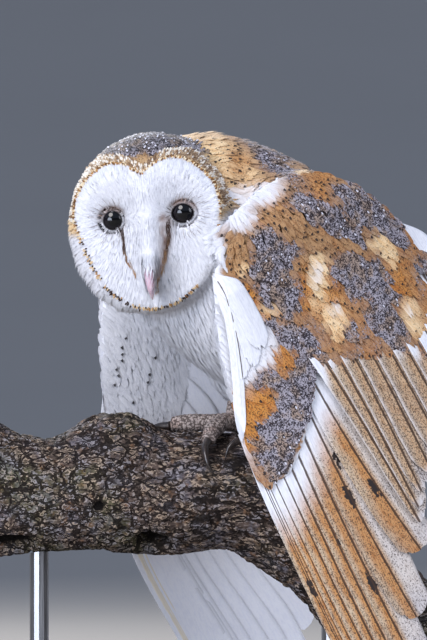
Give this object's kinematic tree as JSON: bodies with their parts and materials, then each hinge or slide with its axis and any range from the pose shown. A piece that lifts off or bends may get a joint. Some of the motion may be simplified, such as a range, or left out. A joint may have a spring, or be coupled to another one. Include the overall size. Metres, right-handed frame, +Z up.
{
  "type": "taxidermy barn owl",
  "caption": "Life-size barn owl with drooped wings and its face turned to the viewer, gripping a cut branch on a plain display stand.",
  "frame": {"origin": "middle of the stand's underside, where it rests on the table", "axes": "+Z up; the branch runs along X; the owl's face looks towards -Y and its body heads towards -X, turned 27 degrees to -Y"},
  "size_m": [0.3325, 0.2202, 0.406],
  "materials": {
    "white_plumage": "soft white feathers",
    "buff_plumage": "soft orange-buff feathers, finely freckled",
    "grey_plumage": "soft grey feathers with white and black specks",
    "eye": "wet gloss",
    "bill_horn": "satin horn",
    "foot_skin": "scaly skin",
    "claw_horn": "polished dark horn",
    "bark": "rough bark",
    "stand_paint": "satin black paint on wood",
    "rod_steel": "brushed"
  },
  "bodies": {
    "root": {"branch": "bark", "stand_base": "stand_paint", "stand_collar_left": "stand_paint", "stand_collar_right": "stand_paint", "stand_rod_left": "rod_steel", "stand_rod_right": "rod_steel", "eye_left": "eye", "eye_right": "eye", "head": "white_plumage", "bill": "bill_horn", "trunk": "white_plumage", "neck": "white_plumage", "tail": "buff_plumage", "thigh_left": "white_plumage", "shank_left": "white_plumage", "foot_left": "foot_skin", "claw_left_front": "claw_horn", "claw_left_inner": "claw_horn", "claw_left_outer": "claw_horn", "claw_left_hind": "claw_horn", "scapulars_left": "grey_plumage", "wing_left_arm": "buff_plumage", "wing_left_hand": "grey_plumage", "wing_left_alula": "white_plumage", "wing_left_secondaries": "buff_plumage", "wing_left_primaries": "buff_plumage", "thigh_right": "white_plumage", "shank_right": "white_plumage", "foot_right": "foot_skin", "claw_right_front": "claw_horn", "claw_right_inner": "claw_horn", "claw_right_outer": "claw_horn", "claw_right_hind": "claw_horn", "scapulars_right": "grey_plumage", "wing_right_arm": "buff_plumage", "wing_right_hand": "grey_plumage", "wing_right_alula": "white_plumage", "wing_right_secondaries": "buff_plumage", "wing_right_primaries": "buff_plumage"}
  },
  "joints": []
}
